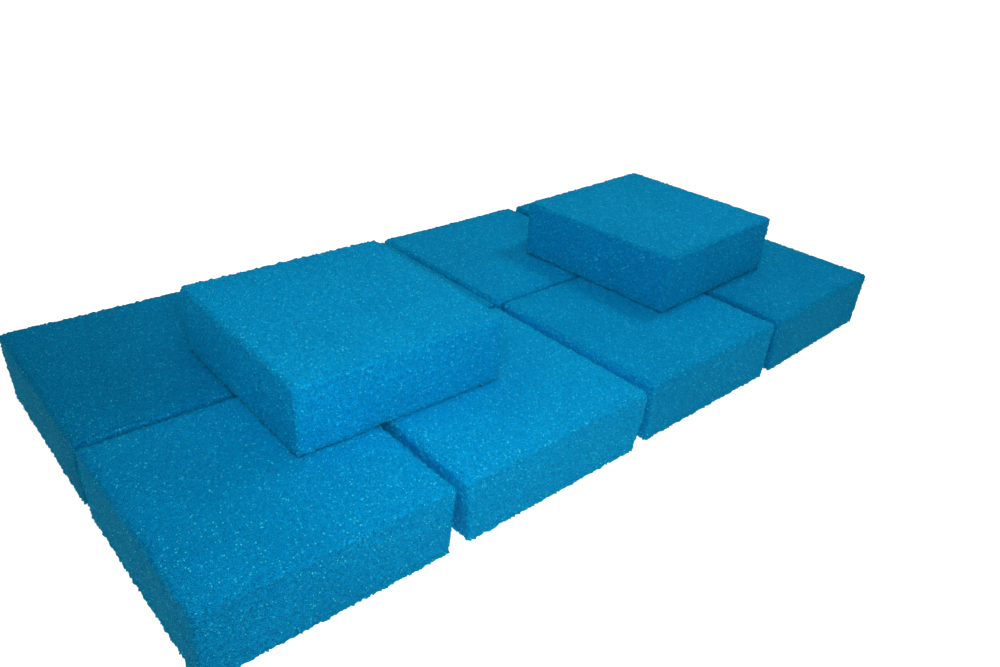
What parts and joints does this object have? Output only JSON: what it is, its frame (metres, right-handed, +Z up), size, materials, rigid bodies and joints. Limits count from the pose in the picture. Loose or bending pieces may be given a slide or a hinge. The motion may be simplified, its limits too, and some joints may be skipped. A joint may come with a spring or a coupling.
{
  "type": "filter sponge set",
  "caption": "Square blocks of blue open-cell filter sponge, laid loose in two rows with more blocks stacked across their joins.",
  "frame": {"origin": "on the floor, under the middle of the box round the whole layout", "axes": "+X along the four columns, +Y from the front row to the rear row, +Z up"},
  "size_m": [0.6422, 0.3154, 0.0963],
  "materials": {
    "blue_foam": "matt open-cell polyurethane foam, dyed through"
  },
  "bodies": {
    "front_1": {"sponge_front_1": "blue_foam"},
    "front_2": {"sponge_front_2": "blue_foam"},
    "front_3": {"sponge_front_3": "blue_foam"},
    "front_4": {"sponge_front_4": "blue_foam"},
    "rear_1": {"sponge_rear_1": "blue_foam"},
    "rear_2": {"sponge_rear_2": "blue_foam"},
    "rear_3": {"sponge_rear_3": "blue_foam"},
    "rear_4": {"sponge_rear_4": "blue_foam"},
    "top_left": {"sponge_top_left": "blue_foam"},
    "top_right": {"sponge_top_right": "blue_foam"}
  },
  "joints": [
    {"name": "front_1_pull", "type": "slide", "parent": "front_2", "child": "front_1", "axis": [0, -1, 0], "range_m": [0, 0.16]},
    {"name": "front_3_pull", "type": "slide", "parent": "front_2", "child": "front_3", "axis": [0, -1, 0], "range_m": [0, 0.16]},
    {"name": "front_4_pull", "type": "slide", "parent": "front_2", "child": "front_4", "axis": [0, -1, 0], "range_m": [0, 0.16]},
    {"name": "rear_1_pull", "type": "slide", "parent": "front_2", "child": "rear_1", "axis": [0, 1, 0], "range_m": [0, 0.16]},
    {"name": "rear_2_pull", "type": "slide", "parent": "front_2", "child": "rear_2", "axis": [0, 1, 0], "range_m": [0, 0.16]},
    {"name": "rear_3_pull", "type": "slide", "parent": "front_2", "child": "rear_3", "axis": [0, 1, 0], "range_m": [0, 0.16]},
    {"name": "rear_4_pull", "type": "slide", "parent": "front_2", "child": "rear_4", "axis": [0, 1, 0], "range_m": [0, 0.16]},
    {"name": "top_left_lift", "type": "slide", "parent": "front_2", "child": "top_left", "axis": [0, 0, 1], "range_m": [0, 0.1]},
    {"name": "top_right_lift", "type": "slide", "parent": "front_2", "child": "top_right", "axis": [0, 0, 1], "range_m": [0, 0.1]}
  ]
}
